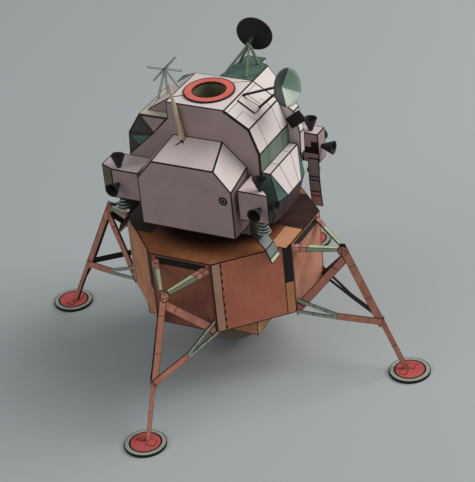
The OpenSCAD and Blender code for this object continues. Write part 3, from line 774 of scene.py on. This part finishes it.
for corner in ("aft_starboard", "aft_port", "forward_starboard", "forward_port"):
    folded("thruster_box_" + corner, box_paint, 0.48)
    folded("thrusters_" + corner, cone_paint, 0.0, flat=0.1)


def strip_paint(c, n):
    if c.y > 0:
        return "mauve" if n.y < 0 else "dark olive"
    if c.z < PALE_TOP:
        return "cream"
    return "dish grey" if c.z < GREY_TOP and c.x > 0 else "dark olive"


folded("plume_deflectors", strip_paint, 0.32, 0.8,
       [((0, 0, z), (0, 0, 1)) for z in (PALE_TOP, GREY_TOP)])

# black L on the forward starboard box
bm = bmesh.new()
box_aft = face_frame((33.4, 27.2, 92.2), (0, -1, 0), (0, 0, 1))
line(bm, box_aft, (-3.6, -1.2), (3.8, -1.2), 3.2, 0.05, 0)
line(bm, box_aft, (0.4, 1.8), (3.8, 1.8), 3.0, 0.05, 0)
finish_piece(bm, "box_print", ["ink"])

# light rings printed round the low cones
LOW_CONES = ((34.3, -25.4), (-34.8, -26.0), (32.8, 30.3), (-32.8, 30.3))
CONE_Z, CONE_L, NECK_R, FLARE, RING_W, RING_OUT = 85.0, 6.0, 0.9, 2.3, 0.42, (0.17, 0.01)
bm = bmesh.new()
for x, y in LOW_CONES:
    for share in (0.3, 0.52, 0.74, 0.93):
        r = NECK_R + FLARE * share
        place = Matrix.Translation(Vector((x, y, CONE_Z - CONE_L * share)) * MM)
        ring = bmesh.ops.create_cone(bm, cap_ends=True, segments=32, radius1=(r + RING_OUT[0]) * MM,
                                     radius2=(r + RING_OUT[1]) * MM, depth=RING_W * MM, matrix=place)
        paint_faces(ring["verts"], 0)
finish_piece(bm, "cone_rings", ["cone stripe"])

# ---------- antennas ----------
for node, name in (("radar_dish", "ink"), ("mast", "wood"), ("ladder", "fork green")):
    repaint(node, name)


def rod_paint(c, n):
    return "ink" if n.z < -0.6 or n.x < -0.85 else "fork green"


folded("radar_frame", rod_paint, 0.13, 0.3)
folded("cross_antenna", lambda c, n: "ink" if n.z < -0.6 else "pale green", 0.13, 0.3)
STEER = Vector((0.942, -0.238, 0.238)).normalized()
RIM_MID, DISH_DEPTH = Vector((36.5, 3.4, 135.1)), 3.6
APEX = RIM_MID - STEER * DISH_DEPTH
UPRIGHT = Vector((-0.167, 0.506, 0.847))
UPRIGHT = (UPRIGHT - STEER * STEER.dot(UPRIGHT)).normalized()
ACROSS = UPRIGHT.cross(STEER)
LEAN = math.radians(12)
FOLD = UPRIGHT * math.cos(LEAN) + ACROSS * math.sin(LEAN)


def steer_paint(c, n):
    """Three painted sectors that meet at the bottom of the dish."""
    d = c - APEX
    if n.dot(STEER) < 0:
        return "~dish shade"
    if d.dot(ACROSS) < 0:
        return "~dish dark"
    return "~teal light" if d.dot(FOLD) > 0 else "~pale green"


folded("steerable_dish", steer_paint, 0.0, flat=0.01, smooth=True,
       cuts=[(APEX, ACROSS), (APEX, FOLD)])
folded("dish_bracket", lambda c, n: "white" if n.z > 0.5 and c.x < 25 else "ink", 0.35)
folded("sensor_flap", plain("ink"), 0.0)

# ---------- stage: floor, light, camera ----------
floor_mesh = bpy.data.meshes.new("floor")
bm = bmesh.new()
bmesh.ops.create_grid(bm, x_segments=1, y_segments=1, size=6.0)
bm.to_mesh(floor_mesh)
bm.free()
floor = bpy.data.objects.new("floor", floor_mesh)
bpy.context.scene.collection.objects.link(floor)
floor_paint = bpy.data.materials.new("floor paper")
floor_paint.use_nodes = True
floor_paint.node_tree.nodes["Principled BSDF"].inputs["Base Color"].default_value = linear("A9AFAF")
floor_paint.node_tree.nodes["Principled BSDF"].inputs["Roughness"].default_value = 0.9
floor_mesh.materials.append(floor_paint)


def lamp(name, place, aim, size, power, colour=(1, 1, 1)):
    data = bpy.data.lights.new(name, "AREA")
    data.size, data.energy, data.color = size, power, colour
    o = bpy.data.objects.new(name, data)
    o.location = place
    o.rotation_mode = "QUATERNION"
    o.rotation_quaternion = (Vector(aim) - Vector(place)).to_track_quat("-Z", "Y")
    bpy.context.scene.collection.objects.link(o)


lamp("key", (0.75, 0.55, 0.95), (0, 0, 0.06), 1.0, 14.5, (1.0, 0.985, 0.96))
lamp("fill", (-0.7, -0.9, 0.8), (0, 0, 0.06), 1.0, 3.5, (0.95, 0.97, 1.0))
world = bpy.data.worlds.new("studio")
bpy.context.scene.world = world
world.use_nodes = True
world.node_tree.nodes["Background"].inputs["Color"].default_value = (0.86, 0.9, 0.94, 1)
world.node_tree.nodes["Background"].inputs["Strength"].default_value = 0.35

camera_data = bpy.data.cameras.new("camera")
camera_data.sensor_fit = "AUTO"
camera_data.sensor_width = 36.0
camera_data.lens = 144.98
camera = bpy.data.objects.new("camera", camera_data)
bpy.context.scene.collection.objects.link(camera)
bpy.context.scene.camera = camera
azimuth, elevation, roll = math.radians(29.32), math.radians(31.65), math.radians(-5.86)
AIM_AT, AWAY, ASIDE, BELOW = Vector((0, 0, 65)), 880.42, 6.73, 10.71
back = Vector((math.sin(azimuth) * math.cos(elevation), -math.cos(azimuth) * math.cos(elevation),
               math.sin(elevation)))
right = Vector((math.cos(azimuth), math.sin(azimuth), 0))
up = back.cross(right)
right_rolled = math.cos(roll) * right + math.sin(roll) * up
up_rolled = -math.sin(roll) * right + math.cos(roll) * up
place = AIM_AT + AWAY * back + ASIDE * right_rolled - BELOW * up_rolled
turn = Matrix((right_rolled, up_rolled, back)).transposed().to_4x4()
camera.matrix_world = Matrix.Translation(place * MM) @ turn
camera_data.clip_start, camera_data.clip_end = 0.01, 20

bpy.context.scene.view_settings.view_transform = "Standard"

bpy.context.view_layer.update()
